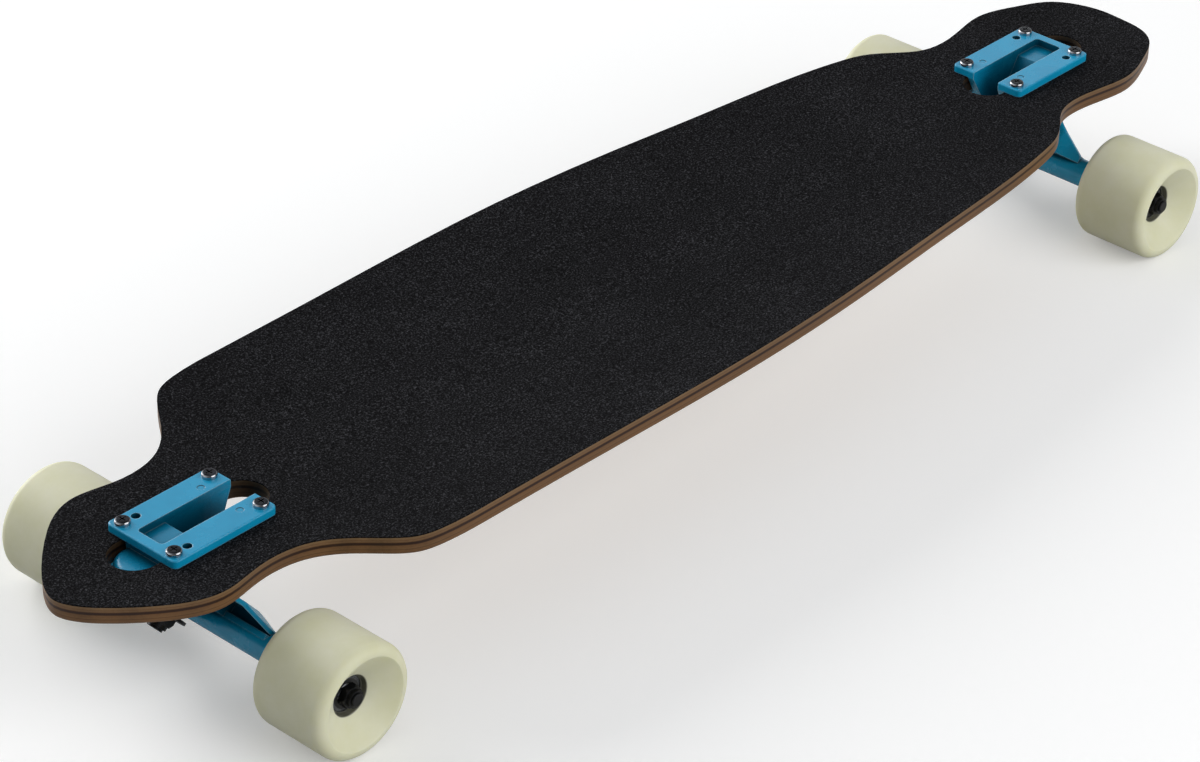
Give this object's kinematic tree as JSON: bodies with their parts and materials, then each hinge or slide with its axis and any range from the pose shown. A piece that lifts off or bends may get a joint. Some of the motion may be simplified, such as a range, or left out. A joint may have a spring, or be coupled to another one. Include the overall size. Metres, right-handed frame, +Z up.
{
  "type": "longboard skateboard",
  "caption": "Drop-through longboard with a gripped wooden deck cut away at the wheels, blue lean-steering trucks and cream dished urethane wheels on ball bearings.",
  "frame": {"origin": "on the ground under the middle of the board's box", "axes": "+X towards the nose, +Y to the rider's left when facing the nose, +Z up"},
  "size_m": [0.9439, 0.2598, 0.1009],
  "materials": {
    "maple": "clear lacquered laminate, plies on the edge",
    "grip": "black abrasive grit sheet",
    "blue_casting": "blue baked paint on a casting",
    "black_steel": "black oxide",
    "bushing_urethane": "satin cast urethane",
    "cup_plastic": "moulded",
    "chrome_bolt": "plated",
    "zinc_steel": "zinc plated",
    "bearing_steel": "ground",
    "black_shield": "moulded seal",
    "cage_nylon": "moulded",
    "wheel_urethane": "satin cast urethane"
  },
  "bodies": {
    "board": {"deck": "maple", "grip_tape": "grip", "front_baseplate": "blue_casting", "front_kingpin": "black_steel", "front_kingpin_nut": "black_steel", "front_boardside_bushing": "bushing_urethane", "front_roadside_bushing": "bushing_urethane", "front_bushing_washers": "black_steel", "front_pivot_cup": "cup_plastic", "front_mounting_bolts": "chrome_bolt", "front_mounting_nuts": "zinc_steel", "rear_baseplate": "blue_casting", "rear_kingpin": "black_steel", "rear_kingpin_nut": "black_steel", "rear_boardside_bushing": "bushing_urethane", "rear_roadside_bushing": "bushing_urethane", "rear_bushing_washers": "black_steel", "rear_pivot_cup": "cup_plastic", "rear_mounting_bolts": "chrome_bolt", "rear_mounting_nuts": "zinc_steel"},
    "front_hanger_body": {"front_hanger": "blue_casting", "front_axle": "zinc_steel", "front_axle_nuts": "black_steel", "front_speed_washers": "zinc_steel", "front_bearing_spacers": "zinc_steel", "front_bearing_inner_rings": "bearing_steel"},
    "front_left_wheel_body": {"front_left_wheel": "wheel_urethane", "front_left_bearing_outer_rings": "bearing_steel", "front_left_bearing_shields": "black_shield"},
    "front_left_ball_set": {"front_left_bearing_balls": "bearing_steel", "front_left_bearing_cages": "cage_nylon"},
    "front_right_wheel_body": {"front_right_wheel": "wheel_urethane", "front_right_bearing_outer_rings": "bearing_steel", "front_right_bearing_shields": "black_shield"},
    "front_right_ball_set": {"front_right_bearing_balls": "bearing_steel", "front_right_bearing_cages": "cage_nylon"},
    "rear_hanger_body": {"rear_hanger": "blue_casting", "rear_axle": "zinc_steel", "rear_axle_nuts": "black_steel", "rear_speed_washers": "zinc_steel", "rear_bearing_spacers": "zinc_steel", "rear_bearing_inner_rings": "bearing_steel"},
    "rear_left_wheel_body": {"rear_left_wheel": "wheel_urethane", "rear_left_bearing_outer_rings": "bearing_steel", "rear_left_bearing_shields": "black_shield"},
    "rear_left_ball_set": {"rear_left_bearing_balls": "bearing_steel", "rear_left_bearing_cages": "cage_nylon"},
    "rear_right_wheel_body": {"rear_right_wheel": "wheel_urethane", "rear_right_bearing_outer_rings": "bearing_steel", "rear_right_bearing_shields": "black_shield"},
    "rear_right_ball_set": {"rear_right_bearing_balls": "bearing_steel", "rear_right_bearing_cages": "cage_nylon"}
  },
  "joints": [
    {"name": "front_hanger_lean", "type": "hinge", "parent": "board", "child": "front_hanger_body", "pos_m": [0.37818, 0, 0.05564], "axis": [0.6428, 0, 0.766], "range_deg": [-15, 15], "stiffness_Nm_per_rad": 65, "deforming": ["front_boardside_bushing", "front_roadside_bushing"]},
    {"name": "front_left_wheel_spin", "type": "hinge", "parent": "front_hanger_body", "child": "front_left_wheel_body", "pos_m": [0.3656, 0, 0.035], "axis": [0, 1, 0], "continuous": true},
    {"name": "front_left_balls_spin", "type": "hinge", "parent": "front_hanger_body", "child": "front_left_ball_set", "pos_m": [0.3656, 0, 0.035], "axis": [0, 1, 0], "continuous": true},
    {"name": "front_right_wheel_spin", "type": "hinge", "parent": "front_hanger_body", "child": "front_right_wheel_body", "pos_m": [0.3656, 0, 0.035], "axis": [0, 1, 0], "continuous": true},
    {"name": "front_right_balls_spin", "type": "hinge", "parent": "front_hanger_body", "child": "front_right_ball_set", "pos_m": [0.3656, 0, 0.035], "axis": [0, 1, 0], "continuous": true},
    {"name": "rear_hanger_lean", "type": "hinge", "parent": "board", "child": "rear_hanger_body", "pos_m": [-0.38318, 0, 0.05564], "axis": [-0.6428, 0, 0.766], "range_deg": [-15, 15], "stiffness_Nm_per_rad": 65, "deforming": ["rear_boardside_bushing", "rear_roadside_bushing"]},
    {"name": "rear_left_wheel_spin", "type": "hinge", "parent": "rear_hanger_body", "child": "rear_left_wheel_body", "pos_m": [-0.3706, 0, 0.035], "axis": [0, 1, 0], "continuous": true},
    {"name": "rear_left_balls_spin", "type": "hinge", "parent": "rear_hanger_body", "child": "rear_left_ball_set", "pos_m": [-0.3706, 0, 0.035], "axis": [0, 1, 0], "continuous": true},
    {"name": "rear_right_wheel_spin", "type": "hinge", "parent": "rear_hanger_body", "child": "rear_right_wheel_body", "pos_m": [-0.3706, 0, 0.035], "axis": [0, 1, 0], "continuous": true},
    {"name": "rear_right_balls_spin", "type": "hinge", "parent": "rear_hanger_body", "child": "rear_right_ball_set", "pos_m": [-0.3706, 0, 0.035], "axis": [0, 1, 0], "continuous": true}
  ],
  "couplings": [
    {"joint": "front_left_balls_spin", "follows": "front_left_wheel_spin", "ratio": 0.6323},
    {"joint": "front_right_balls_spin", "follows": "front_right_wheel_spin", "ratio": 0.6323},
    {"joint": "rear_left_balls_spin", "follows": "rear_left_wheel_spin", "ratio": 0.6323},
    {"joint": "rear_right_balls_spin", "follows": "rear_right_wheel_spin", "ratio": 0.6323}
  ]
}
